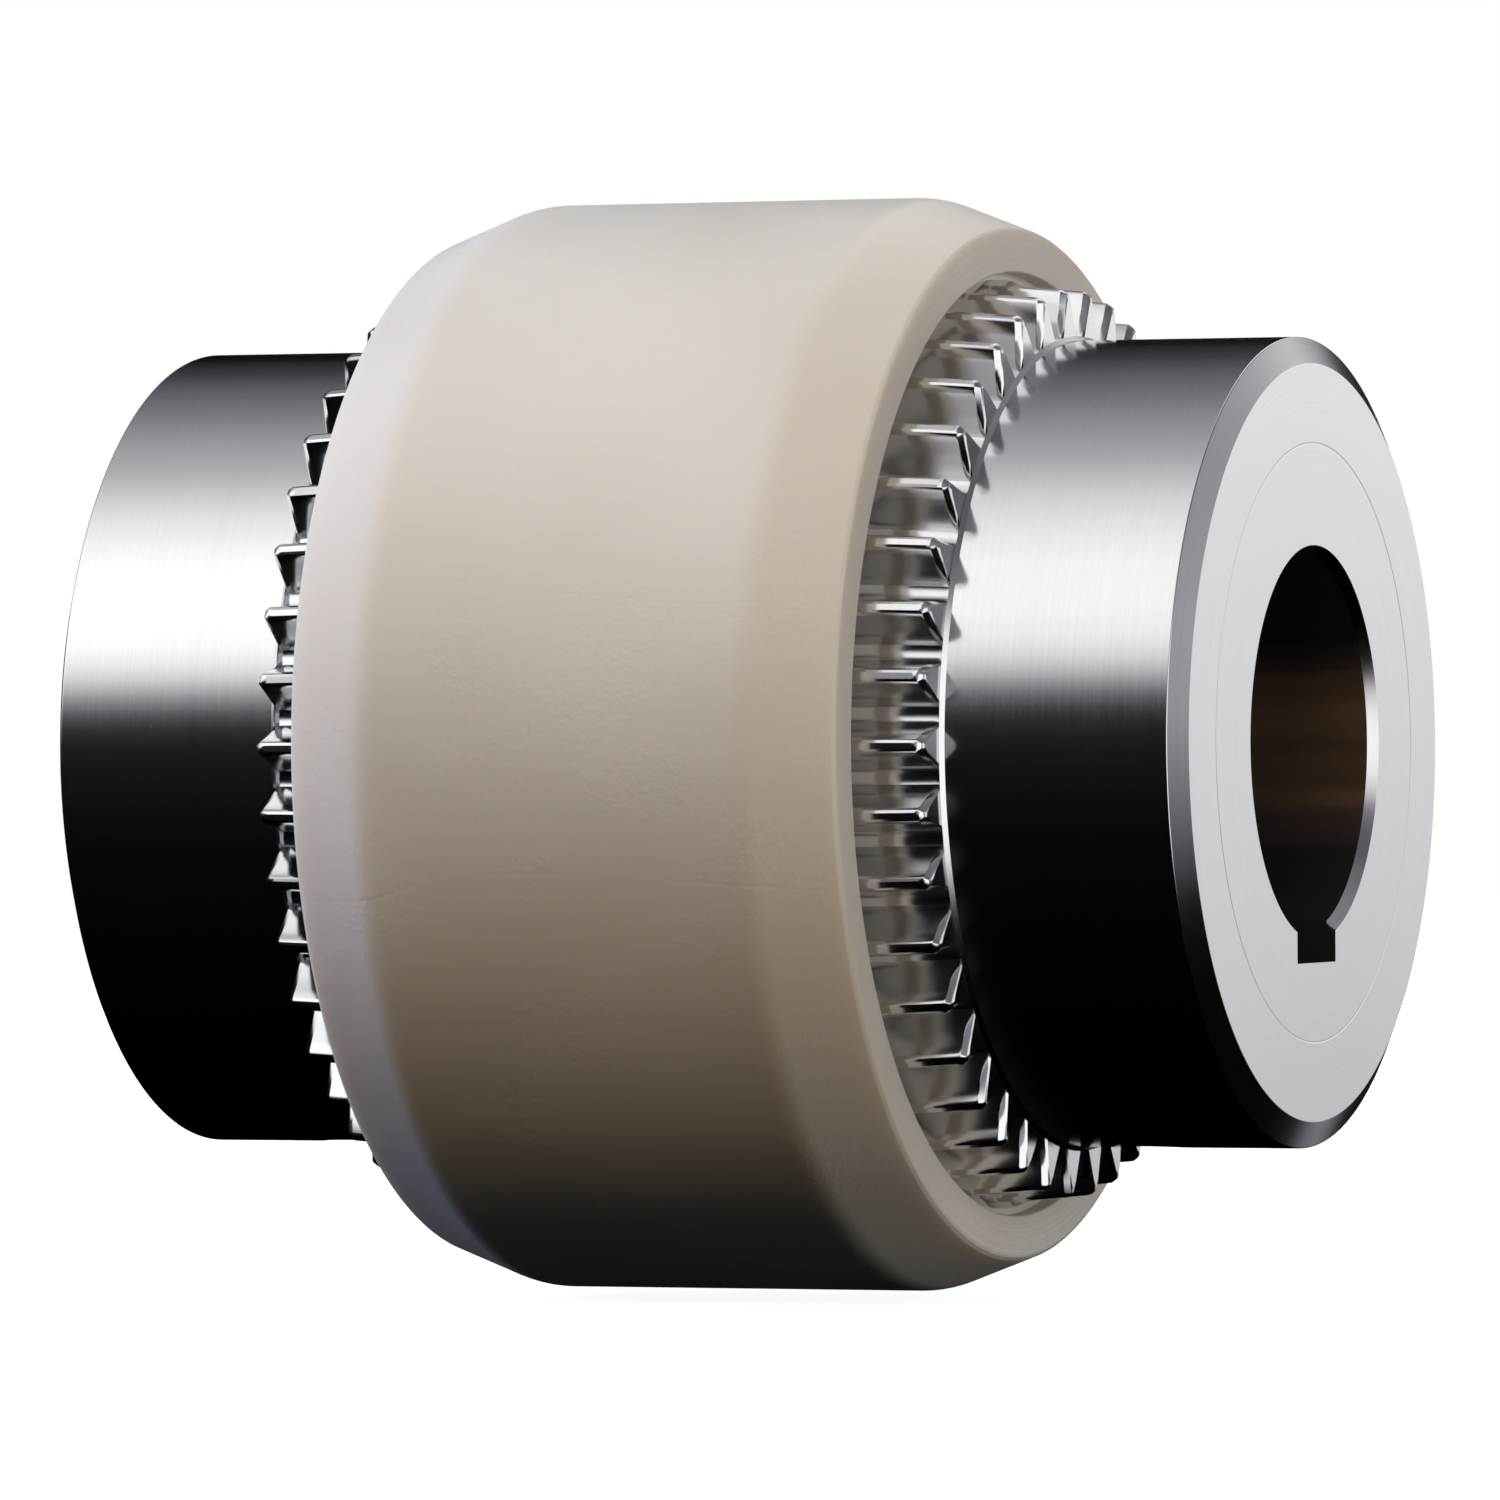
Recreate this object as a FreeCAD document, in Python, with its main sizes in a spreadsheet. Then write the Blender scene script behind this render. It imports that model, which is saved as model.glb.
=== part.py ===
import FreeCAD, Part
import os
import re
import Sketcher
from FreeCAD import Placement, Rotation, Vector

# A curved-tooth gear coupling, in millimetres.
# The shafts run along X, and the origin is the middle of the coupling.
# Two equal steel hubs face each other across a small gap. A moulded nylon sleeve with straight
# internal teeth joins their crowned teeth. Both keyways point down, along -Z.

SIZES = {
    "bore_diameter": 45,
    "bore_chamfer": 1.1,
    "hub_diameter": 97,
    "hub_length": 70,
    "hub_gap": 4,
    "face_bevel_length": 1.6,
    "face_bevel_height": 3.2,
    "key_width": 14,
    "key_depth": 3.8,
    "gear_length": 40.4,
    "root_step": 2.6,
    "tooth_count": 42,
    "tooth_depth": 4.5,
    "tooth_corner": 0.8,
    "tooth_overlap": 0.3,
    "space_floor_width": 1.95,
    "space_top_width": 6.65,
    "crown_radius": 190,
    "flank_clearance": 0.2,
    "tip_clearance": 0.42,
    "root_clearance": 0.6,
    "sleeve_length": 69,
    "sleeve_wall": 10,
    "sleeve_cone_length": 10.25,
    "sleeve_cone_height": 3.9,
    "recess_depth": 2.2,
    "recess_step": 0.8,
    "cut_overrun": 1,
    "screw_diameter": 10,
    "screw_length": 20,
    "screw_from_face": 20,
    "screw_from_keyway": 0.6,
    "screw_clearance": 0.05,
    "screw_chamfer": 1,
    "socket_width": 5,
    "socket_depth": 6,
}

# Radii and places along the shaft that follow from the sizes
BORE = "bore_diameter / 2"
HUB = "hub_diameter / 2"
HUB_INNER = "hub_gap / 2"
HUB_OUTER = "(hub_gap / 2 + hub_length)"
GEAR_OUTER = "(hub_gap / 2 + gear_length)"
GEAR_CENTRE = "(hub_gap / 2 + gear_length / 2)"
KEYWAY_FLOOR = f"({BORE} + key_depth)"
ROOT = f"({HUB} + root_step)"
TIP = f"({ROOT} + tooth_depth)"
SLEEVE_INNER = f"({ROOT} + root_clearance)"
SLEEVE_SPACE = f"({TIP} + tip_clearance)"
SLEEVE_OUTER = f"({SLEEVE_SPACE} + sleeve_wall)"
SLEEVE_RECESS = f"({SLEEVE_SPACE} + recess_step)"
SLEEVE_END = "sleeve_length / 2"

SCREW = "screw_diameter / 2"
SCREW_PLACE = f"({HUB_OUTER} - screw_from_face)"
SCREW_TIP = f"({KEYWAY_FLOOR} + screw_from_keyway)"
SCREW_TOP = f"({SCREW_TIP} + screw_length)"

# How a sketch numbers the ends and the centre of a line or a circle
START, END, CENTRE = range(1, 4)

doc = FreeCAD.newDocument("gear_coupling")


def make_sheet():
    sheet = doc.addObject("Spreadsheet::Sheet", "sizes")
    for row, (name, value) in enumerate(SIZES.items(), start=1):
        sheet.set(f"A{row}", name)
        sheet.set(f"B{row}", str(value))
        sheet.setAlias(f"B{row}", name)
    doc.recompute()


def tied(text):
    """The text, with each size's name pointing at its cell in the sheet."""
    return re.sub(r"[a-z]+_[a-z_]+", lambda word: "sizes." + word.group(), text)


def now(text):
    """What a text of sizes comes to."""
    value = doc.getObject("sizes").evalExpression(tied(text))
    return float(getattr(value, "Value", value))


def new_body(label):
    body = doc.addObject("PartDesign::Body", label)
    body.Label = label
    return body


def origin_part(body, role):
    return next(part for part in body.Origin.OriginFeatures if part.Role == role)


def new_sketch(body, name, plane, offset="0"):
    sketch = body.newObject("Sketcher::SketchObject", name)
    sketch.AttachmentSupport = [(origin_part(body, plane), "")]
    sketch.MapMode = "FlatFace"
    sketch.setExpression("AttachmentOffset.Base.z", tied(offset))
    return sketch


def pin(sketch, kind, geometry, end, text):
    """Hold one coordinate of a point, or a radius."""
    if kind == "Radius":
        what = (geometry,)
    elif now(text) < 0:
        what = (geometry, end, -1, 1)
        text = f"-({text})"
    else:
        what = (-1, 1, geometry, end)
    number = sketch.addConstraint(Sketcher.Constraint(kind, *what, now(text)))
    sketch.setExpression(f"Constraints[{number}]", tied(text))


def pin_point(sketch, geometry, end, place):
    pin(sketch, "DistanceX", geometry, end, place[0])
    pin(sketch, "DistanceY", geometry, end, place[1])


def at(place):
    return Vector(now(place[0]), now(place[1]), 0)


def join(sketch, first, first_end, second, second_end):
    ends = (first, first_end, second, second_end)
    sketch.addConstraint(Sketcher.Constraint("Coincident", *ends))


def add_lines(sketch, corners):
    """Straight lines from corner to corner, with every corner held in place but the last."""
    numbers = []
    for first, second in zip(corners, corners[1:]):
        line = Part.LineSegment(at(first), at(second))
        numbers.append(sketch.addGeometry(line, False))
        pin_point(sketch, numbers[-1], START, first)
    for first, second in zip(numbers, numbers[1:]):
        join(sketch, first, END, second, START)
    return numbers


def add_outline(sketch, corners):
    """A closed outline of straight lines."""
    numbers = add_lines(sketch, corners + corners[:1])
    join(sketch, numbers[-1], END, numbers[0], START)


def add_circle(sketch, centre, radius):
    number = sketch.addGeometry(Part.Circle(at(centre), Vector(0, 0, 1), now(radius)), False)
    pin_point(sketch, number, CENTRE, centre)
    pin(sketch, "Radius", number, 0, radius)


def half_space(height):
    """Half the width of a tooth space at a height above the shaft, in the middle of the gear."""
    slope = "(space_top_width - space_floor_width) / 2 / tooth_depth"
    return f"(space_floor_width / 2 + ({height} - {ROOT}) * {slope})"


def crown_drop(along):
    """How far the crown lies below its top, at a distance along the gear from its middle."""
    return f"(crown_radius - sqrt(crown_radius^2 - ({along})^2))"


def add_turned(body, kind, name, sketch, axis="H_Axis"):
    turned = body.newObject(f"PartDesign::{kind}", name)
    turned.Profile = sketch
    turned.ReferenceAxis = (sketch, [axis])
    turned.Angle = 360
    return turned


def add_pocket(body, name, sketch, reverse):
    pocket = body.newObject("PartDesign::Pocket", name)
    pocket.Profile = sketch
    pocket.Type = "ThroughAll"
    pocket.Reversed = reverse
    return pocket


def add_ring(body, name, tooth):
    """Repeat one tooth, or one tooth space, all the way round the shaft."""
    ring = body.newObject("PartDesign::PolarPattern", name)
    ring.Originals = [tooth]
    ring.Axis = (origin_part(body, "X_Axis"), [""])
    ring.Angle = 360
    ring.setExpression("Occurrences", "sizes.tooth_count")
    body.Tip = ring


def turn_hub_blank(body):
    """The turned hub, while its gear is a whole rim that falls away from its middle to both ends."""
    end_rim = f"({TIP} - {crown_drop('gear_length / 2')})"
    quarter = "gear_length / 4"
    quarter_rim = f"({TIP} - {crown_drop(quarter)})"
    sketch = new_sketch(body, "hub_section", "XZ_Plane")
    corners = [
        (f"{HUB_INNER} + tooth_corner", end_rim),
        (f"{GEAR_CENTRE} - {quarter}", quarter_rim),
        (GEAR_CENTRE, TIP),
        (f"{GEAR_CENTRE} + {quarter}", quarter_rim),
        (f"{GEAR_OUTER} - tooth_corner", end_rim),
        (GEAR_OUTER, f"{end_rim} - tooth_corner"),
        (GEAR_OUTER, HUB),
        (f"{HUB_OUTER} - face_bevel_length", HUB),
        (HUB_OUTER, f"{HUB} - face_bevel_height"),
        (HUB_OUTER, f"{BORE} + bore_chamfer"),
        (f"{HUB_OUTER} - bore_chamfer", BORE),
        (f"{HUB_INNER} + bore_chamfer", BORE),
        (HUB_INNER, f"{BORE} + bore_chamfer"),
        (HUB_INNER, f"{end_rim} - tooth_corner"),
    ]
    add_outline(sketch, corners)
    add_turned(body, "Revolution", "hub_blank", sketch)


def cut_space(body):
    """One tooth space at +Z, drawn at five stations along the gear that sink with the crown's arc."""
    sketches = []
    for number in range(-2, 3):
        along = f"({number} * (gear_length / 4 + cut_overrun / 2))"
        sketch = new_sketch(body, "space_section", "YZ_Plane", f"{GEAR_CENTRE} + {along}")
        drop = crown_drop(along)
        heights = (ROOT, f"({TIP} + 2 * cut_overrun)")
        half = [(half_space(height), f"{height} - {drop}") for height in heights]
        add_outline(sketch, half + [(f"-{across}", up) for across, up in reversed(half)])
        sketches.append(sketch)
    cut = body.newObject("PartDesign::SubtractiveLoft", "tooth_space")
    cut.Profile = sketches[0]
    cut.Sections = sketches[1:]
    cut.Ruled = True
    return cut


def cut_keyway(body):
    sketch = new_sketch(body, "keyway_section", "YZ_Plane")
    side = "key_width / 2"
    floor, top = f"-{KEYWAY_FLOOR}", f"-{BORE} / 2"
    add_outline(sketch, [(f"-{side}", floor), (side, floor), (side, top), (f"-{side}", top)])
    add_pocket(body, "keyway", sketch, True)


def drill_screw_hole(body):
    sketch = new_sketch(body, "screw_hole_section", "XY_Plane")
    add_circle(sketch, (SCREW_PLACE, "0"), f"{SCREW} + screw_clearance")
    add_pocket(body, "screw_hole", sketch, False)


def make_right_hub():
    body = new_body("right_hub")
    turn_hub_blank(body)
    add_ring(body, "hub_teeth", cut_space(body))
    cut_keyway(body)
    drill_screw_hole(body)
    return body


def make_sleeve():
    body = new_body("sleeve")
    sketch = new_sketch(body, "sleeve_section", "XZ_Plane")
    half = [
        (f"{SLEEVE_END} - recess_depth", SLEEVE_SPACE),
        (f"{SLEEVE_END} - recess_depth", SLEEVE_RECESS),
        (SLEEVE_END, SLEEVE_RECESS),
        (SLEEVE_END, f"{SLEEVE_OUTER} - sleeve_cone_height"),
        (f"{SLEEVE_END} - sleeve_cone_length", SLEEVE_OUTER),
    ]
    add_outline(sketch, half + [(f"-({along})", out) for along, out in reversed(half)])
    add_turned(body, "Revolution", "sleeve_ring", sketch)
    add_ring(body, "sleeve_teeth", add_sleeve_tooth(body))
    return body


def add_sleeve_tooth(body):
    """One straight internal tooth at +Z, which fits a hub's tooth space."""
    sketch = new_sketch(body, "sleeve_tooth_section", "YZ_Plane")
    heights = (SLEEVE_INNER, f"({SLEEVE_SPACE} + tooth_overlap)")
    half = [(f"({half_space(height)} - flank_clearance)", height) for height in heights]
    add_outline(sketch, half + [(f"-{across}", height) for across, height in reversed(half)])
    tooth = body.newObject("PartDesign::Pad", "sleeve_tooth")
    tooth.Profile = sketch
    tooth.Midplane = True
    tooth.setExpression("Length", tied("sleeve_length - 2 * recess_depth"))
    return tooth


def make_right_screw():
    """A set screw that stands on its own axis, with its hexagon socket facing out of the hub."""
    body = new_body("right_set_screw")
    body.setExpression("Placement.Base.x", tied(SCREW_PLACE))
    section = new_sketch(body, "screw_section", "XZ_Plane")
    corners = [
        ("0", f"-{SCREW_TIP}"),
        (f"{SCREW} - screw_chamfer", f"-{SCREW_TIP}"),
        (SCREW, f"-({SCREW_TIP} + screw_chamfer)"),
        (SCREW, f"-{SCREW_TOP}"),
        ("0", f"-{SCREW_TOP}"),
    ]
    add_outline(section, corners)
    add_turned(body, "Revolution", "screw_blank", section, "V_Axis")
    socket = new_sketch(body, "socket_section", "XY_Plane", f"-{SCREW_TOP}")
    reach = "socket_width / sqrt(3)"
    turns = [f"{angle}deg" for angle in range(0, 360, 60)]
    add_outline(socket, [(f"{reach} * cos({turn})", f"{reach} * sin({turn})") for turn in turns])
    pocket = add_pocket(body, "socket", socket, True)
    pocket.Type = "Length"
    pocket.setExpression("Length", "sizes.socket_depth")
    return body


def make_left(label, right):
    """The same piece on the left, turned half round about Z so that its keyway stays down."""
    body = new_body(label)
    body.Placement = Placement(Vector(0, 0, 0), Rotation(Vector(0, 0, 1), 180))
    copy = body.newObject("PartDesign::FeatureBase", f"{label}_copy")
    copy.BaseFeature = right
    body.Tip = copy
    return body


def check_all():
    for item in doc.Objects:
        if "Invalid" in item.State or "Error" in item.State:
            raise RuntimeError(f"{item.Label} failed")
    for body in bodies:
        shape = body.Shape
        if shape.isNull() or not shape.isValid() or len(shape.Solids) != 1:
            raise RuntimeError(f"{body.Label} is not one sound solid")


make_sheet()
right_hub = make_right_hub()
right_screw = make_right_screw()
left_hub = make_left("left_hub", right_hub)
left_screw = make_left("left_set_screw", right_screw)
left_screw.setExpression("Placement.Base.x", tied(f"-{SCREW_PLACE}"))
bodies = [make_sleeve(), left_hub, right_hub, left_screw, right_screw]
doc.recompute()
check_all()

os.makedirs("parts", exist_ok=True)
for body in bodies:
    body.Shape.exportStep(f"parts/{body.Label}.step")
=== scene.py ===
from math import acos, asin, atan2, cos, hypot, pi, radians, sin, sqrt

import bmesh
import bpy
from mathutils import Matrix, Vector


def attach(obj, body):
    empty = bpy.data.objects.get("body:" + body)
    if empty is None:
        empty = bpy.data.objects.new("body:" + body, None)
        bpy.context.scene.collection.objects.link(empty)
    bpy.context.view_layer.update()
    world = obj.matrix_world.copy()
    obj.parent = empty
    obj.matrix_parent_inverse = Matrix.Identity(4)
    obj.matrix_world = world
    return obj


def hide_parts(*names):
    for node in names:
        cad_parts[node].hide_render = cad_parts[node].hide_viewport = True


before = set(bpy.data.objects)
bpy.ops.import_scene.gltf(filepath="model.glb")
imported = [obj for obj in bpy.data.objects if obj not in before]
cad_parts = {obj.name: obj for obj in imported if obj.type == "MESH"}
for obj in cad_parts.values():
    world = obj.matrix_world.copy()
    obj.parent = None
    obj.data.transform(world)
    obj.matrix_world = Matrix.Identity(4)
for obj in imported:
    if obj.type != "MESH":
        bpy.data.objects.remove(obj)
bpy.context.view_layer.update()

# Sizes of the coupling, in metres, as in the solids, except that ROOT is 1.7 mm lower than there
BORE = 0.0225
BORE_CHAMFER = 0.0011
HUB = 0.0485
HUB_INNER = 0.002
HUB_OUTER = 0.072
FACE_BEVEL_LENGTH = 0.0016
FACE_BEVEL_HEIGHT = 0.0032
KEY_HALF = 0.007
KEYWAY_FLOOR = BORE + 0.0038
TOOTH_COUNT = 42
PITCH = 2 * pi / TOOTH_COUNT
ROOT = 0.0494
TIP = 0.0556
SPACE_FLOOR = 0.00195 / 2
SPACE_TOP = 0.00665 / 2
SPACE_SLOPE = (SPACE_TOP - SPACE_FLOOR) / (TIP - ROOT)
CROWN_RADIUS = 0.190
GEAR_OUTER = 0.0424
GEAR_CENTRE = (HUB_INNER + GEAR_OUTER) / 2
GEAR_HALF = (GEAR_OUTER - HUB_INNER) / 2
FLANK_CLEARANCE = 0.0002
SLEEVE_INNER = ROOT + 0.0006
SLEEVE_SPACE = TIP + 0.00042
SLEEVE_OUTER = SLEEVE_SPACE + 0.010
SLEEVE_END = 0.0345
SLEEVE_CONE_LENGTH = 0.01025
SLEEVE_CONE_HEIGHT = 0.0039
RECESS_DEPTH = 0.0022
RECESS = SLEEVE_SPACE + 0.0008
SCREW_PLACE = 0.052
SCREW_HOLE = 0.00505
SCREW = 0.005
SCREW_LENGTH = 0.020
SCREW_TIP = KEYWAY_FLOOR + 0.0006
SOCKET_HALF = 0.0025
SOCKET_DEPTH = 0.006

# Fine forms that the solids leave out
TOOTH_END_BEVEL = (0.00025, 0.00078)
TOOTH_CORNER_RADIUS = 0.001
TOOTH_CORNER_STEP = 0.12
TIP_EDGE_BEVEL = 0.0004
ROOT_FILLET = 0.0005
ROOT_CHAMFER = 0.0005
EDGE_BREAK = 0.00022
SCRIBED_RADIUS = 0.0358
SCRIBED_HALF = 0.00009
SCRIBED_DEPTH = 0.00003
SLEEVE_EDGE = 0.0003
SLEEVE_RIM = SLEEVE_EDGE * 3
SLEEVE_SHOULDER = 0.009
SCREW_CHAMFER = 0.0010
SOCKET_MOUTH = SOCKET_HALF * 1.25
SOCKET_POINT = SOCKET_DEPTH * 1.1
THREAD_PITCH = 0.0015
THREAD_DEPTH = 0.0007

# The tooth space's fillet, in parts of its size: its middle point in and up, and its end up
FILLET_SHAPE = (0.15, 0.3, 1.2)
# The tip's bevel: its start and middle down, in parts of its size, then its middle and end across the tip
TIP_SHAPE = (1.4, 0.35, 0.30, 0.62)

# How finely the curves are divided
FLANK_STEPS = 4
SLEEVE_FLANK_STEPS = 5
CROWN_STEPS = 14
LEAD_IN_STEPS = 6
HOLE_CORNERS = 64
SCREW_CORNERS = 48
THREAD_STEPS = 8
SHARP_ANGLE = radians(24)
MARGIN = 0.0001

# Colours, and where they lie between a pattern's lowest and highest value
STEEL_STOPS = ((0.25, (0.73, 0.73, 0.74)), (0.75, (0.80, 0.80, 0.80)))
# The bore: its dark steel, then the brown of its painted reflections
BORED_AND_REFLECTION_STOPS = ((0.15, (0.05, 0.046, 0.055)), (0.62, (0.36, 0.23, 0.13)))
OXIDE_STOPS = ((0.3, (0.03, 0.03, 0.033)), (0.7, (0.09, 0.09, 0.10)))
NYLON_STOPS = ((0.35, (0.70, 0.66, 0.61)), (0.65, (0.74, 0.705, 0.665)))

# Steel: the marks' pitch in metres and their drift round the shaft, and the sizes of specks
FINE_MARKS = (0.00014, 1.5)
BROAD_MARKS = (0.0035, 0.6)
BROAD_SHARE = 0.3
MARK_DETAIL = 3
MARK_RANGE = (0.3, 0.7)
STEEL_SPECK = 0.00022
SPECK_RANGE = (0.62, 0.75)
SPECK_ROUGHNESS = 0.07
STEEL_ROUGHNESS = (0.135, 0.155)
STEEL_ANISOTROPY = 0.4
STEEL_BUMP = (0.05, 0.00002)
BORED_METAL = 0.5
BORED_ROUGHNESS = (0.32, 0.45)
# Painted reflections in the bore, brown banding along the shaft: its stretch, its detail, and the heights
# from the axis where it dies away
REFLECTION_BAND_SCALE = (12, 60, 210)
REFLECTION_BAND_DETAIL = 4
REFLECTION_BAND_HEIGHTS = (0.002, 0.017)
OXIDE_SPECK = 0.0006
OXIDE_ROUGHNESS = (0.3, 0.5)

# Nylon: sizes of its patterns in metres, its weld lines and the turned rings on its ends
NYLON_CLOUD = 0.030
NYLON_PATCH = 0.016
NYLON_PEBBLE = 0.0008
NYLON_ROUGHNESS = (0.34, 0.46)
NYLON_BUMP = (0.36, 0.00022)
NYLON_IOR = 1.53
NYLON_GLOW_WEIGHT = 0.5
NYLON_GLOW_RADIUS = (1.0, 0.7, 0.45)
NYLON_GLOW_DEPTH = 0.006
PEBBLE_MASK = (0.45, 0.62, 0.15, 1)
WELD_MASK = (0.4, 0.6, 0, 0.25)
WELD_HEIGHTS = (0.0430, 0.0181, -0.0164)
WELD_DRIFT = 0.0016
WELD_HALF = 0.0004
END_MARKS = (0.0004, 0.5)
END_MARK_STRENGTH = 2

# The photograph's camera: degrees, millimetres of lens, and metres
CAMERA_TURN = 21.51
CAMERA_RISE = 0.18
CAMERA_ROLL = -0.32
CAMERA_LENS = 298.98
CAMERA_SENSOR = 36
CAMERA_DISTANCE = 1.5147
CAMERA_ASIDE = 0.00057
CAMERA_ABOVE = 0.00059
CAMERA_REACH = 100

# Lamps: name, turn and rise in degrees, size in metres, power in watts, colour
PANELS = (
    ("key_panel", -45, 58, (1.4, 0.9), 18, (0.83, 0.915, 1.0)),
    ("warm_panel", 5, 33, (0.8, 0.4), 7.2, (1.0, 0.75, 0.46)),
    ("left_panel", -86, 12, (0.6, 0.6), 16, (0.62, 0.69, 1.0)),
    ("right_panel", 84, 4, (0.8, 0.6), 10.5, (1.0, 0.94, 0.86)),
    ("back_panel", 201, 8, (1.4, 0.7), 13, (0.96, 0.97, 1.0)),
)
PANEL_DISTANCE = 1.5
AMBIENT = 0.01

# The floor: its own light fades to white with the distance, and the gap leaves room for the sleeve's tilt
FLOOR_HALF = 3
FLOOR_COLOUR = 0.5
FLOOR_GAP = 0.001
FLOOR_GLOW = 0.92
FLOOR_FADE = (0.10, 0.45)

# The light tent: levels by degrees from straight ahead, over the top, to straight behind
TENT_RADIUS = 3
TENT_GAIN = 1.4
TENT_BLUE = 0.94
TENT_LEVELS = (
    (-90, 0.0), (-30, 0.001), (6, 0.004), (11, 0.015), (16, 0.14), (20, 0.39),
    (25, 0.64), (31, 0.79), (40, 0.84), (54, 0.83), (73, 0.60), (88, 0.34),
    (116, 0.14), (142, 0.03), (160, 0.0), (179, 0.0),
)

# Soft edges in the tent: where each starts and ends, in parts of the radius, and the values there
TENT_LEAN = (-0.45, -0.33, 0.06, 0)
TENT_MIRROR = (-0.27, -0.20, 0, 1)
TENT_LEFT_GAIN = (-0.42, -0.33, 1.2, 1)
TENT_RIGHT_SHARE = (0, 0.25, 1, 0.2)
PATCH_SIDE = (0.02, 0.3, 0, 1)
PATCH_BEHIND = (0.3, 0.9, 0.27, 0.74)
PATCH_ABOVE = (-0.25, 0.064, 0, 1)
PATCH_LOW = (-0.34, -0.27, 0, 1)
PATCH_FAR = (0.55, 0.7, 0, 0.5)
PATCH_BELOW = (0.2, 0.5, 1, 0.3)
STRIP_SIDE = (0.5, 0.6, 0, 0.9)
STRIP_AHEAD = (-0.3, -0.15, 1, 0)
STRIP_NEAR_LEVEL = (0.35, 0.5, 1, 0)


def make_piece(name, corners, faces, body, node):
    """A mesh piece that rides on a body and stands for a solid."""
    mesh = bpy.data.meshes.new(name)
    mesh.from_pydata(corners, [], faces)
    mesh.validate()
    piece = bpy.data.objects.new(name, mesh)
    bpy.context.scene.collection.objects.link(piece)
    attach(piece, body)
    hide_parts(node)
    return piece


def smooth(piece):
    """Smooth shading that breaks at the real edges and keeps flat faces flat up to their bevels."""
    for face in piece.data.polygons:
        face.use_smooth = True
    piece.data.set_sharp_from_angle(angle=SHARP_ANGLE)
    weighted = piece.modifiers.new("weighted", "WEIGHTED_NORMAL")
    weighted.weight = 100
    weighted.keep_sharp = True
    bake(piece)


def grid_faces(rows, columns):
    """Four-sided faces of a grid that closes on itself both ways."""
    faces = []
    for row in range(rows):
        for column in range(columns):
            beside = (column + 1) % columns
            below = (row + 1) % rows
            faces.append((
                row * columns + column,
                row * columns + beside,
                below * columns + beside,
                below * columns + column,
            ))
    return faces


def on_ring(along, radius, turn):
    """A point by its place along the shaft, its radius and its turn from straight up."""
    return (along, -radius * sin(turn), radius * cos(turn))


# The teeth, drawn as radius and turn from the middle of a tooth space

def space_side(widen_low, widen_high, drop, root, tip, count):
    """One side of a tooth space, from the middle of its floor to the middle of the tooth's tip."""
    floor = root - drop
    crest = tip - drop
    half_floor = SPACE_FLOOR + (root - ROOT) * SPACE_SLOPE + widen_low
    slope = SPACE_SLOPE + (widen_high - widen_low) / (crest - floor)
    fillet_in, fillet_up, fillet_end = FILLET_SHAPE
    tip_start, tip_down, tip_middle, tip_end = TIP_SHAPE
    points = [
        (0.0, floor),
        (half_floor - ROOT_FILLET, floor),
        (half_floor - ROOT_FILLET * fillet_in, floor + ROOT_FILLET * fillet_up),
    ]
    low = floor + ROOT_FILLET * fillet_end
    high = crest - TIP_EDGE_BEVEL * tip_start
    for step in range(count + 1):
        height = low + (high - low) * step / count
        points.append((half_floor + (height - floor) * slope, height))
    polar = [(hypot(*point), atan2(*point)) for point in points]
    edge = polar[-1][1]
    middle = PITCH / 2
    polar.append((crest - TIP_EDGE_BEVEL * tip_down, edge + (middle - edge) * tip_middle))
    polar.append((crest, edge + (middle - edge) * tip_end))
    polar.append((crest, middle))
    return polar


def whole_ring(side):
    """All tooth spaces and teeth round the shaft, from one side of one space."""
    around = []
    for number in range(TOOTH_COUNT):
        centre = number * PITCH
        around += [(radius, centre - turn) for radius, turn in reversed(side[1:-1])]
        around += [(radius, centre + turn) for radius, turn in side]
    return around


def crown_drop(along):
    """How far the crown lies below its top, at a place along the shaft."""
    return CROWN_RADIUS - sqrt(CROWN_RADIUS ** 2 - (along - GEAR_CENTRE) ** 2)


def gear_stations():
    """Places along the gear, from its outer end to its inner end, closer at the ends."""
    inside = GEAR_HALF - TOOTH_CORNER_RADIUS
    places = [GEAR_CENTRE + inside * cos(pi * step / CROWN_STEPS) for step in range(CROWN_STEPS + 1)]
    ends = [0.0, TOOTH_CORNER_STEP] + [size / TOOTH_CORNER_RADIUS for size in TOOTH_END_BEVEL]
    outer = [GEAR_OUTER - TOOTH_CORNER_RADIUS * share for share in ends]
    inner = [HUB_INNER + TOOTH_CORNER_RADIUS * share for share in reversed(ends)]
    return outer + places + inner


def gear_ring(along):
    """The hub's toothed outline at a place along it."""
    from_end = min(GEAR_OUTER - along, along - HUB_INNER)
    widen_low, widen_high = (max(0.0, size - from_end) for size in TOOTH_END_BEVEL)
    short = max(0.0, TOOTH_CORNER_RADIUS - from_end)
    corner = TOOTH_CORNER_RADIUS - sqrt(TOOTH_CORNER_RADIUS ** 2 - short ** 2)
    side = space_side(widen_low, widen_high, crown_drop(along), ROOT, TIP, FLANK_STEPS)
    lowered = [(min(radius, TIP - crown_drop(along) - corner), turn) for radius, turn in side]
    return whole_ring(lowered)


def keyed_radius(radius, turn):
    """The radius of a bore's wall at a turn, with the keyway at the bottom."""
    off = abs(turn % (2 * pi) - pi)
    if off >= asin(KEY_HALF / radius):
        return radius
    if off <= atan2(KEY_HALF, KEYWAY_FLOOR):
        return KEYWAY_FLOOR / cos(off)
    return KEY_HALF / sin(off)


def keyed_ring(radius, turns):
    """The bore's outline, with points moved onto the keyway's corners."""
    turns = list(turns)
    for corner in (atan2(KEY_HALF, KEYWAY_FLOOR), asin(KEY_HALF / radius)):
        for exact in (pi - corner, pi + corner):
            nearest = min(range(len(turns)), key=lambda place: abs(turns[place] - exact))
            turns[nearest] = exact
    return [(keyed_radius(radius, turn), turn) for turn in turns]


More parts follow.
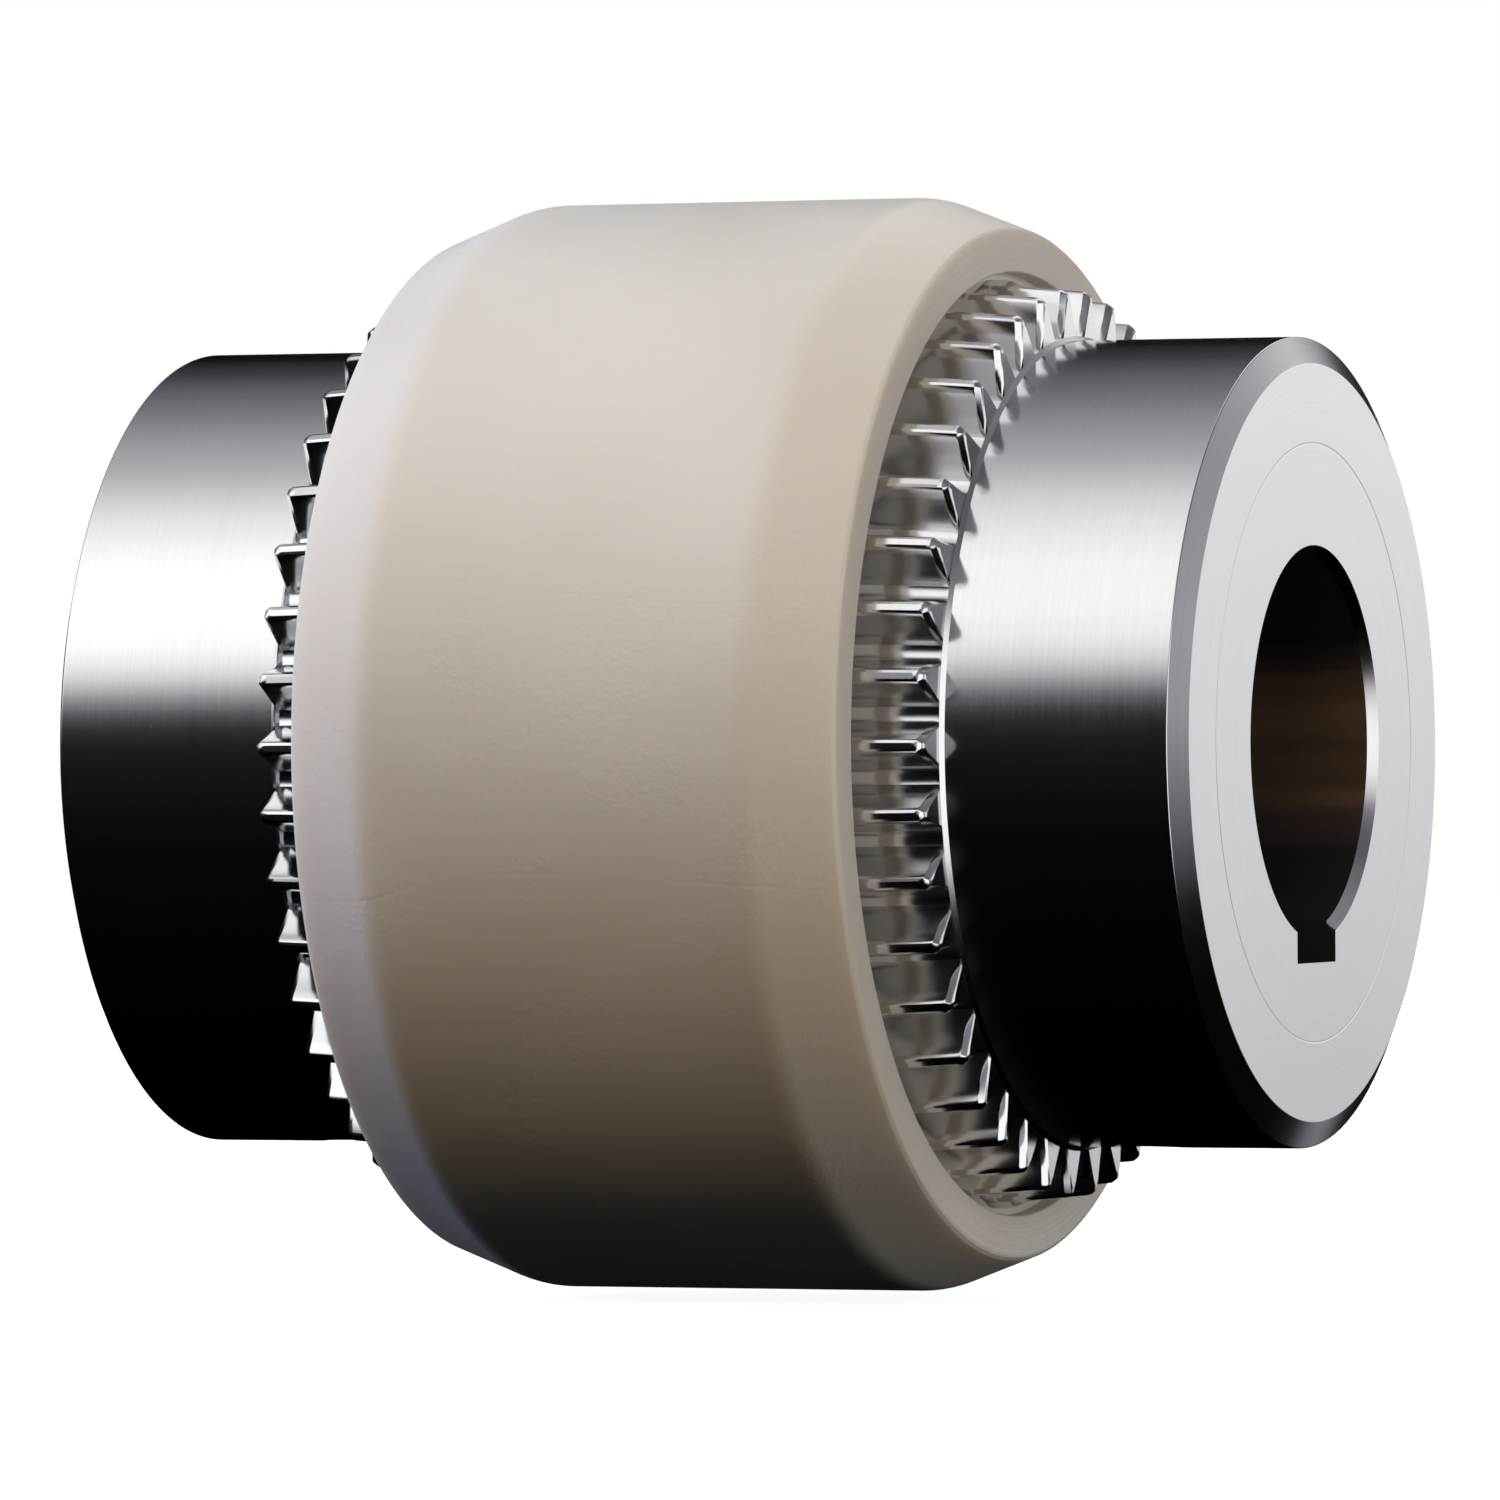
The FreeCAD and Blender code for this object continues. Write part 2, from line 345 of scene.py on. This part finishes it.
def rounded(corners, steps=4):
    """An outline of places and radii whose corners are rounded: each corner has its own radius."""
    points = []
    for number, (along, out, size) in enumerate(corners):
        here = Vector((along, out))
        if size == 0 or number in (0, len(corners) - 1):
            points.append((along, out))
            continue
        before = (Vector(corners[number - 1][:2]) - here).normalized()
        after = (Vector(corners[number + 1][:2]) - here).normalized()
        half_angle = acos(max(-1.0, min(1.0, before.dot(after)))) / 2
        middle = here + (before + after).normalized() * size / sin(half_angle)
        reach = size / (sin(half_angle) / cos(half_angle))
        first = here + before * reach - middle
        last = here + after * reach - middle
        for step in range(steps + 1):
            spoke = first.lerp(last, step / steps).normalized() * size
            points.append(tuple(middle + spoke))
    return points


def bake(piece):
    """Turn a piece's modifiers into plain mesh."""
    graph = bpy.context.evaluated_depsgraph_get()
    mesh = bpy.data.meshes.new_from_object(piece.evaluated_get(graph))
    piece.modifiers.clear()
    piece.data = mesh


def close_up(piece):
    """Join the corners that meet and turn every face of a closed mesh outwards."""
    work = bmesh.new()
    work.from_mesh(piece.data)
    bmesh.ops.remove_doubles(work, verts=work.verts, dist=1e-7)
    bmesh.ops.recalc_face_normals(work, faces=work.faces)
    work.to_mesh(piece.data)
    work.free()


def bore_out(piece, place):
    """Cut the set screw's hole, from the underside into the keyway."""
    bpy.ops.mesh.primitive_cylinder_add(
        vertices=HOLE_CORNERS, radius=SCREW_HOLE, depth=HUB, location=(place, 0, -HUB),
    )
    cutter = bpy.context.object
    cut = piece.modifiers.new("screw_hole", "BOOLEAN")
    cut.operation = "DIFFERENCE"
    cut.solver = "EXACT"
    cut.object = cutter
    bake(piece)
    bpy.data.objects.remove(cutter)


def hub_rings():
    """The right hub's outlines, in order from its gear's outer end round to its gear again."""
    gear = [(along, gear_ring(along)) for along in gear_stations()]
    turns = [turn for radius, turn in gear_ring(GEAR_CENTRE)]
    rings = list(gear)
    for along, radius in (
        (HUB_INNER, BORE + BORE_CHAMFER),
        (HUB_INNER + BORE_CHAMFER, BORE),
        (HUB_OUTER - BORE_CHAMFER, BORE),
        (HUB_OUTER, BORE + BORE_CHAMFER),
    ):
        rings.append((along, keyed_ring(radius, turns)))
    face_edge = HUB - FACE_BEVEL_HEIGHT
    turned = rounded([
        (HUB_OUTER, SCRIBED_RADIUS - SCRIBED_HALF * 2, 0),
        (HUB_OUTER, SCRIBED_RADIUS - SCRIBED_HALF, 0),
        (HUB_OUTER - SCRIBED_DEPTH, SCRIBED_RADIUS, 0),
        (HUB_OUTER, SCRIBED_RADIUS + SCRIBED_HALF, 0),
        (HUB_OUTER, SCRIBED_RADIUS + SCRIBED_HALF * 2, 0),
        (HUB_OUTER, face_edge, EDGE_BREAK),
        (HUB_OUTER - FACE_BEVEL_LENGTH, HUB, EDGE_BREAK),
        (GEAR_OUTER + ROOT_CHAMFER, HUB, 0),
        (GEAR_OUTER, HUB + ROOT_CHAMFER, 0),
    ])
    rings += [(along, [(radius, turn) for turn in turns]) for along, radius in turned]
    return rings


def make_mesh_piece(name, rings, flip, body):
    """A closed piece from its outlines, turned half round about Z where it is flipped."""
    columns = len(rings[0][1])
    corners = []
    for along, ring in rings:
        for radius, turn in ring:
            x, y, z = on_ring(along, radius, turn)
            corners.append((-x, -y, z) if flip else (x, y, z))
    faces = grid_faces(len(rings), columns)
    piece = make_piece(name, corners, faces, body, name.removesuffix("_dressed"))
    close_up(piece)
    return piece


def make_hubs():
    """Both hubs, each with its set screw's hole."""
    rings = hub_rings()
    hubs = []
    for side, flip in (("right", False), ("left", True)):
        hub = make_mesh_piece(f"{side}_hub_dressed", rings, flip, f"{side}_hub")
        bore_out(hub, -SCREW_PLACE if flip else SCREW_PLACE)
        smooth(hub)
        hubs.append(hub)
    return hubs


def sleeve_toothed_ring(clip):
    """The sleeve's inner outline, with its teeth cut back to a radius."""
    thicker = -FLANK_CLEARANCE
    side = space_side(thicker, thicker, 0, SLEEVE_INNER, SLEEVE_SPACE, SLEEVE_FLANK_STEPS)
    return whole_ring([(max(radius, clip), turn) for radius, turn in side])


def make_sleeve():
    """The sleeve: toothed inside with a lead-in at each end, recessed, and coned outside."""
    lead_in = SLEEVE_SPACE - SLEEVE_INNER
    floor = SLEEVE_END - RECESS_DEPTH
    inner = [floor - lead_in * step / LEAD_IN_STEPS for step in range(LEAD_IN_STEPS + 1)]
    rings = []
    for along in inner + [-place for place in reversed(inner)]:
        rings.append((along, sleeve_toothed_ring(SLEEVE_SPACE - (floor - abs(along)))))
    turns = [turn for radius, turn in rings[0][1]]
    half = [
        (floor, RECESS, 0),
        (SLEEVE_END, RECESS, SLEEVE_EDGE),
        (SLEEVE_END, SLEEVE_OUTER - SLEEVE_CONE_HEIGHT, SLEEVE_RIM),
        (SLEEVE_END - SLEEVE_CONE_LENGTH, SLEEVE_OUTER, SLEEVE_SHOULDER),
    ]
    outline = [(-along, out, size) for along, out, size in half] + list(reversed(half))
    for along, radius in rounded(outline, 5):
        rings.append((along, [(radius, turn) for turn in turns]))
    sleeve = make_mesh_piece("sleeve_dressed", rings, False, "sleeve")
    smooth(sleeve)
    return sleeve


def screw_outline():
    """Depths from the screw's outer end, radii and whether the thread runs there, from the tip out."""
    steps = round(SCREW_LENGTH / THREAD_PITCH * THREAD_STEPS)
    outline = [(SCREW_LENGTH, 0.0, False)]
    outline.append((SCREW_LENGTH, SCREW - SCREW_CHAMFER, False))
    for step in range(steps, -1, -1):
        outline.append((SCREW_LENGTH * step / steps, SCREW, True))
    outline.append((0.0, SOCKET_MOUTH, False))
    return outline


def thread_radius(depth, turn):
    """The thread's radius, with the screw's two ends chamfered."""
    share = (depth / THREAD_PITCH - turn / (2 * pi)) % 1
    radius = SCREW - THREAD_DEPTH * (1 - abs(2 * share - 1))
    from_end = min(depth, SCREW_LENGTH - depth)
    return min(radius, SCREW - SCREW_CHAMFER + from_end)


def hexagon_radius(turn):
    """The socket's wall, whose corners lie at the turns that sixty degrees divide."""
    return SOCKET_HALF / cos(turn % (pi / 3) - pi / 6)


def make_screws():
    """The set screws, with their threads, chamfers and sockets, standing down from the keyways."""
    columns = SCREW_CORNERS
    turns = [2 * pi * number / columns for number in range(columns)]
    rings = []
    for depth, radius, threaded in screw_outline():
        rings.append((depth, [thread_radius(depth, turn) if threaded else radius for turn in turns]))
    rings.append((0.0, [hexagon_radius(turn) for turn in turns]))
    rings.append((SOCKET_DEPTH, [hexagon_radius(turn) for turn in turns]))
    rings.append((SOCKET_POINT, [0.0] * columns))
    faces = grid_faces(len(rings), columns)[:-columns]
    screws = []
    for side, sign in (("right", 1), ("left", -1)):
        corners = []
        for depth, radii in rings:
            for radius, turn in zip(radii, turns):
                low = depth - SCREW_TIP - SCREW_LENGTH
                corners.append((sign * (SCREW_PLACE + radius * cos(turn)), sign * radius * sin(turn), low))
        screw = make_piece(
            f"{side}_set_screw_dressed", corners, faces, f"{side}_hub", f"{side}_set_screw",
        )
        close_up(screw)
        smooth(screw)
        screws.append(screw)
    return screws


# Materials

def new_material(name):
    """A material, its node tree and its shader."""
    material = bpy.data.materials.new(name)
    material.use_nodes = True
    tree = material.node_tree
    return material, tree, tree.nodes["Principled BSDF"]


def math_node(tree, kind, first, second=0.0):
    """One operation on two values, each a number or a socket."""
    node = tree.nodes.new("ShaderNodeMath")
    node.operation = kind
    for socket, value in zip(node.inputs, (first, second)):
        if isinstance(value, bpy.types.NodeSocket):
            tree.links.new(value, socket)
        else:
            socket.default_value = value
    return node.outputs[0]


def spread(tree, value, low, high, to_low, to_high):
    """A value carried from one range to another and held at its ends."""
    node = tree.nodes.new("ShaderNodeMapRange")
    tree.links.new(value, node.inputs["Value"])
    for socket, number in zip(list(node.inputs)[1:5], (low, high, to_low, to_high)):
        socket.default_value = number
    return node.outputs[0]


def ramp(tree, value, stops):
    """Colours by a value, blended between the stops."""
    node = tree.nodes.new("ShaderNodeValToRGB")
    tree.links.new(value, node.inputs[0])
    elements = node.color_ramp.elements
    while len(elements) < len(stops):
        elements.new(1.0)
    for element, (place, colour) in zip(elements, stops):
        element.position = place
        element.color = (*colour, 1)
    return node.outputs[0]


def own_place(tree):
    """The place in the piece's own space."""
    return tree.nodes.new("ShaderNodeTexCoord").outputs["Object"]


def own_axes(tree):
    """The place in the piece's own space, as three values."""
    parts = tree.nodes.new("ShaderNodeSeparateXYZ")
    tree.links.new(own_place(tree), parts.inputs[0])
    return parts.outputs


def add_noise(tree, place, scale, detail):
    """Noise over a place."""
    noise = tree.nodes.new("ShaderNodeTexNoise")
    noise.inputs["Scale"].default_value = scale
    noise.inputs["Detail"].default_value = detail
    tree.links.new(place, noise.inputs["Vector"])
    return noise.outputs["Fac"]


def plain_noise(tree, size, detail):
    """Noise whose spots are about a size across."""
    return add_noise(tree, own_place(tree), 1 / size, detail)


def turning_marks(tree, pitch, drift):
    """Noise that runs in rings round the shaft, on the faces as on the barrels."""
    axes = own_axes(tree)
    squares = [math_node(tree, "MULTIPLY", axes[axis], axes[axis]) for axis in (1, 2)]
    radius = math_node(tree, "SQRT", math_node(tree, "ADD", *squares))
    across = math_node(tree, "ADD", radius, axes[0])
    vector = tree.nodes.new("ShaderNodeCombineXYZ")
    tree.links.new(math_node(tree, "DIVIDE", across, pitch), vector.inputs[0])
    for axis in (1, 2):
        around = math_node(tree, "DIVIDE", axes[axis], radius)
        tree.links.new(math_node(tree, "MULTIPLY", around, drift), vector.inputs[axis])
    return add_noise(tree, vector.outputs[0], 1, MARK_DETAIL)


def add_bump(tree, shader, height, strength, distance):
    """Relief from a height."""
    bump = tree.nodes.new("ShaderNodeBump")
    bump.inputs["Strength"].default_value = strength
    bump.inputs["Distance"].default_value = distance
    tree.links.new(height, bump.inputs["Height"])
    tree.links.new(bump.outputs[0], shader.inputs["Normal"])


def make_steel():
    """Bright turned steel: fine rings round the shaft, with a few deeper ones and tiny specks."""
    material, tree, shader = new_material("turned_steel")
    shader.inputs["Metallic"].default_value = 1
    shader.inputs["Anisotropic"].default_value = STEEL_ANISOTROPY
    fine = turning_marks(tree, *FINE_MARKS)
    broad = turning_marks(tree, *BROAD_MARKS)
    fine_part = math_node(tree, "MULTIPLY", fine, 1 - BROAD_SHARE)
    broad_part = math_node(tree, "MULTIPLY", broad, BROAD_SHARE)
    marks = math_node(tree, "ADD", fine_part, broad_part)
    tree.links.new(ramp(tree, marks, STEEL_STOPS), shader.inputs["Base Color"])
    specks = plain_noise(tree, STEEL_SPECK, 2)
    grain = spread(tree, specks, *SPECK_RANGE, 0, SPECK_ROUGHNESS)
    ringed = spread(tree, marks, *MARK_RANGE, *STEEL_ROUGHNESS)
    tree.links.new(math_node(tree, "ADD", ringed, grain), shader.inputs["Roughness"])
    tangent = tree.nodes.new("ShaderNodeTangent")
    tangent.direction_type = "RADIAL"
    tangent.axis = "X"
    tree.links.new(tangent.outputs[0], shader.inputs["Tangent"])
    add_bump(tree, shader, fine, *STEEL_BUMP)
    return material


def make_bored_steel_painted_reflection():
    """Dark oiled steel of the bore and the keyway, with painted reflections: brown banding along the
    shaft, strongest level with the axis.
    """
    material, tree, shader = new_material("bored_steel_painted_reflection")
    shader.inputs["Metallic"].default_value = BORED_METAL
    squeeze = tree.nodes.new("ShaderNodeMapping")
    squeeze.inputs["Scale"].default_value = REFLECTION_BAND_SCALE
    tree.links.new(own_place(tree), squeeze.inputs["Vector"])
    streaks = add_noise(tree, squeeze.outputs[0], 1, REFLECTION_BAND_DETAIL)
    # Painted reflection: the brown banding is full level with the axis and gone towards the bore's top and
    # bottom
    off_middle = math_node(tree, "ABSOLUTE", own_axes(tree)[2])
    reflection_fade = spread(tree, off_middle, *REFLECTION_BAND_HEIGHTS, 1, 0)
    reflection_bands = math_node(tree, "MULTIPLY", streaks, reflection_fade)
    tree.links.new(ramp(tree, reflection_bands, BORED_AND_REFLECTION_STOPS), shader.inputs["Base Color"])
    rough = spread(tree, streaks, *MARK_RANGE, *BORED_ROUGHNESS)
    tree.links.new(rough, shader.inputs["Roughness"])
    return material


def make_screw_steel():
    """Black oxide with a fine mottle."""
    material, tree, shader = new_material("blackened_steel")
    shader.inputs["Metallic"].default_value = 1
    specks = plain_noise(tree, OXIDE_SPECK, 3)
    tree.links.new(ramp(tree, specks, OXIDE_STOPS), shader.inputs["Base Color"])
    rough = spread(tree, specks, *MARK_RANGE, *OXIDE_ROUGHNESS)
    tree.links.new(rough, shader.inputs["Roughness"])
    return material


def weld_lines(tree, wander):
    """Fine creases along the sleeve, where the nylon met itself in the mould."""
    drift = spread(tree, wander, *MARK_RANGE, -WELD_DRIFT, WELD_DRIFT)
    level = math_node(tree, "ADD", own_axes(tree)[2], drift)
    lines = 0.0
    for height in WELD_HEIGHTS:
        off = math_node(tree, "ABSOLUTE", math_node(tree, "SUBTRACT", level, height))
        lines = math_node(tree, "ADD", spread(tree, off, 0, WELD_HALF, 1, 0), lines)
    return lines


def end_rings(tree):
    """Turned rings on the sleeve's two end faces alone."""
    out = math_node(tree, "ABSOLUTE", own_axes(tree)[0])
    on_end = spread(tree, out, SLEEVE_END - 2 * MARGIN, SLEEVE_END - MARGIN, 0, END_MARK_STRENGTH)
    return math_node(tree, "MULTIPLY", turning_marks(tree, *END_MARKS), on_end)


def make_nylon():
    """Ivory moulded nylon: satin, a little translucent, with a soft grain and faint weld lines."""
    material, tree, shader = new_material("ivory_nylon")
    clouds = plain_noise(tree, NYLON_CLOUD, 0)
    patches = plain_noise(tree, NYLON_PATCH, 3)
    pebbles = plain_noise(tree, NYLON_PEBBLE, 2)
    tree.links.new(ramp(tree, clouds, NYLON_STOPS), shader.inputs["Base Color"])
    rough = spread(tree, patches, *MARK_RANGE, *NYLON_ROUGHNESS)
    tree.links.new(rough, shader.inputs["Roughness"])
    shader.inputs["Subsurface Weight"].default_value = NYLON_GLOW_WEIGHT
    shader.inputs["Subsurface Radius"].default_value = NYLON_GLOW_RADIUS
    shader.inputs["Subsurface Scale"].default_value = NYLON_GLOW_DEPTH
    shader.inputs["IOR"].default_value = NYLON_IOR
    raised = math_node(tree, "MULTIPLY", pebbles, spread(tree, patches, *PEBBLE_MASK))
    sunk = math_node(tree, "MULTIPLY", weld_lines(tree, clouds), spread(tree, patches, *WELD_MASK))
    height = math_node(tree, "SUBTRACT", raised, sunk)
    add_bump(tree, shader, math_node(tree, "ADD", height, end_rings(tree)), *NYLON_BUMP)
    return material


def dress(piece, *materials):
    """Give a piece its materials, in order."""
    piece.data.materials.clear()
    for material in materials:
        piece.data.materials.append(material)


def mark_bore(hub):
    """Give the bore's and the keyway's walls the second material."""
    for face in hub.data.polygons:
        x, y, z = face.center
        steep = abs(face.normal.x)
        in_bore = hypot(y, z) < BORE + MARGIN and steep < 0.1
        over_key = abs(y) < KEY_HALF + MARGIN and -KEYWAY_FLOOR - MARGIN < z < -BORE * 0.9
        in_keyway = over_key and steep < 0.5
        face.material_index = int(in_bore or in_keyway)


# Studio

def make_camera():
    """The photograph's view: its place, its turn about the upright and its small roll."""
    turn, rise, roll = radians(CAMERA_TURN), radians(CAMERA_RISE), radians(CAMERA_ROLL)
    forward = Vector((-sin(turn) * cos(rise), cos(turn) * cos(rise), -sin(rise)))
    level = forward.cross(Vector((0, 0, 1))).normalized()
    upright = level.cross(forward)
    right = level * cos(roll) + upright * sin(roll)
    up = -level * sin(roll) + upright * cos(roll)
    data = bpy.data.cameras.new("camera")
    data.lens = CAMERA_LENS
    data.sensor_width = CAMERA_SENSOR
    data.clip_end = CAMERA_REACH
    camera = bpy.data.objects.new("camera", data)
    bpy.context.scene.collection.objects.link(camera)
    place = -forward * CAMERA_DISTANCE - right * CAMERA_ASIDE - up * CAMERA_ABOVE
    turned = Matrix((right, up, -forward)).transposed()
    camera.matrix_world = Matrix.Translation(place) @ turned.to_4x4()
    bpy.context.scene.camera = camera


def add_panel(name, turn, rise, size, power, colour):
    """A soft panel lamp that looks at the coupling from a side and a height, both in degrees."""
    data = bpy.data.lights.new(name, "AREA")
    data.shape = "RECTANGLE"
    data.size, data.size_y = size
    data.energy = power
    data.color = colour
    lamp = bpy.data.objects.new(name, data)
    side, up = radians(turn), radians(rise)
    back = Vector((sin(side) * cos(up), -cos(side) * cos(up), sin(up)))
    lamp.location = back * PANEL_DISTANCE
    lamp.rotation_mode = "QUATERNION"
    lamp.rotation_quaternion = back.to_track_quat("Z", "Y")
    lamp.visible_glossy = False
    bpy.context.scene.collection.objects.link(lamp)


def make_world():
    """White where the camera, a mirror or glass looks past the set, and a low grey light elsewhere."""
    world = bpy.data.worlds.new("world")
    bpy.context.scene.world = world
    world.use_nodes = True
    tree = world.node_tree
    path = tree.nodes.new("ShaderNodeLightPath")
    seen = path.outputs["Is Camera Ray"]
    for name in ("Is Glossy Ray", "Is Transmission Ray"):
        seen = math_node(tree, "MAXIMUM", seen, path.outputs[name])
    background = tree.nodes["Background"]
    background.inputs["Color"].default_value = (1, 1, 1, 1)
    tree.links.new(spread(tree, seen, 0, 1, AMBIENT, 1), background.inputs["Strength"])


def make_floor():
    """A white floor under the sleeve: most of its light is its own, so that only a soft shadow shows."""
    half = FLOOR_HALF
    low = -SLEEVE_OUTER - FLOOR_GAP
    corners = [(-half, -half, low), (half, -half, low), (half, half, low), (-half, half, low)]
    mesh = bpy.data.meshes.new("floor")
    mesh.from_pydata(corners, [], [(0, 1, 2, 3)])
    floor = bpy.data.objects.new("floor", mesh)
    floor.visible_glossy = False
    floor.visible_diffuse = False
    bpy.context.scene.collection.objects.link(floor)
    material, tree, shader = new_material("white_floor")
    shader.inputs["Base Color"].default_value = (FLOOR_COLOUR, FLOOR_COLOUR, FLOOR_COLOUR, 1)
    shader.inputs["Roughness"].default_value = 1
    shader.inputs["Specular IOR Level"].default_value = 0
    shader.inputs["Emission Color"].default_value = (1, 1, 1, 1)
    distance = tree.nodes.new("ShaderNodeVectorMath")
    distance.operation = "LENGTH"
    tree.links.new(own_place(tree), distance.inputs[0])
    glow = spread(tree, distance.outputs["Value"], *FLOOR_FADE, FLOOR_GLOW, 1)
    path = tree.nodes.new("ShaderNodeLightPath")
    seen = math_node(tree, "MULTIPLY", path.outputs["Is Camera Ray"], glow)
    tree.links.new(seen, shader.inputs["Emission Strength"])
    dress(floor, material)


def soft_edge(tree, value, start, end, at_start, at_end):
    """A value's soft edge in the tent, between two parts of the tent's radius."""
    return spread(tree, value, start * TENT_RADIUS, end * TENT_RADIUS, at_start, at_end)


def tent_arch(tree, right, back, up):
    """The bright arch over the coupling, in front and, right of the left part, behind as well."""
    behind = math_node(tree, "MULTIPLY", math_node(tree, "MAXIMUM", back, 0), 2)
    mirrored = math_node(tree, "MULTIPLY", behind, soft_edge(tree, right, *TENT_MIRROR))
    front = math_node(tree, "SUBTRACT", mirrored, back)
    angle = math_node(tree, "ARCTAN2", up, front)
    leaned = math_node(tree, "ADD", angle, soft_edge(tree, right, *TENT_LEAN))
    share = math_node(tree, "DIVIDE", math_node(tree, "ADD", leaned, pi), 2 * pi)
    stops = [((turn + 180) / 360, (level, level, level)) for turn, level in TENT_LEVELS]
    left_gain = soft_edge(tree, right, *TENT_LEFT_GAIN)
    right_share = soft_edge(tree, right, *TENT_RIGHT_SHARE)
    sideways = math_node(tree, "MULTIPLY", right_share, left_gain)
    return math_node(tree, "MULTIPLY", ramp(tree, share, stops), sideways)


def tent_patch(tree, right, back, up):
    """The pale patch at the back right, which the hub's end face mirrors."""
    low = soft_edge(tree, up, *PATCH_LOW)
    far = soft_edge(tree, back, *PATCH_FAR)
    low_part = math_node(tree, "MULTIPLY", low, far)
    above = math_node(tree, "MAXIMUM", soft_edge(tree, up, *PATCH_ABOVE), low_part)
    upright = math_node(tree, "MULTIPLY", above, soft_edge(tree, up, *PATCH_BELOW))
    side = soft_edge(tree, right, *PATCH_SIDE)
    level = math_node(tree, "MULTIPLY", side, soft_edge(tree, back, *PATCH_BEHIND))
    return math_node(tree, "MULTIPLY", level, upright)


def tent_strip(tree, right, back, up):
    """The bright strip at the front right, which shows as a line in the chamfers."""
    off_level = math_node(tree, "ABSOLUTE", up)
    ahead = soft_edge(tree, back, *STRIP_AHEAD)
    near_level = soft_edge(tree, off_level, *STRIP_NEAR_LEVEL)
    placed = math_node(tree, "MULTIPLY", ahead, near_level)
    return math_node(tree, "MULTIPLY", soft_edge(tree, right, *STRIP_SIDE), placed)


def make_tent():
    """A light tent, seen only in reflections: bright above, dark low down, and a little blue."""
    bpy.ops.mesh.primitive_uv_sphere_add(segments=64, ring_count=32, radius=TENT_RADIUS)
    tent = bpy.context.object
    tent.name = "light_tent"
    tent.visible_camera = False
    tent.visible_diffuse = False
    tent.visible_shadow = False
    material, tree, shader = new_material("light_tent")
    tree.nodes.remove(shader)
    axes = own_axes(tree)
    patch = tent_patch(tree, *axes)
    level = math_node(tree, "MAXIMUM", tent_arch(tree, *axes), patch)
    level = math_node(tree, "MAXIMUM", level, tent_strip(tree, *axes))
    tint = tree.nodes.new("ShaderNodeCombineColor")
    for channel in ("Red", "Green"):
        tree.links.new(level, tint.inputs[channel])
    tree.links.new(math_node(tree, "POWER", level, TENT_BLUE), tint.inputs["Blue"])
    glow = tree.nodes.new("ShaderNodeEmission")
    glow.inputs["Strength"].default_value = TENT_GAIN
    tree.links.new(tint.outputs[0], glow.inputs["Color"])
    tree.links.new(glow.outputs[0], tree.nodes["Material Output"].inputs["Surface"])
    dress(tent, material)


steel = make_steel()
bored_steel_painted_reflection = make_bored_steel_painted_reflection()
for hub in make_hubs():
    dress(hub, steel, bored_steel_painted_reflection)
    mark_bore(hub)
dress(make_sleeve(), make_nylon())
screw_steel = make_screw_steel()
for screw in make_screws():
    dress(screw, screw_steel)

make_camera()
make_world()
make_floor()
make_tent()
for panel in PANELS:
    add_panel(*panel)
bpy.context.scene.view_settings.view_transform = "Standard"
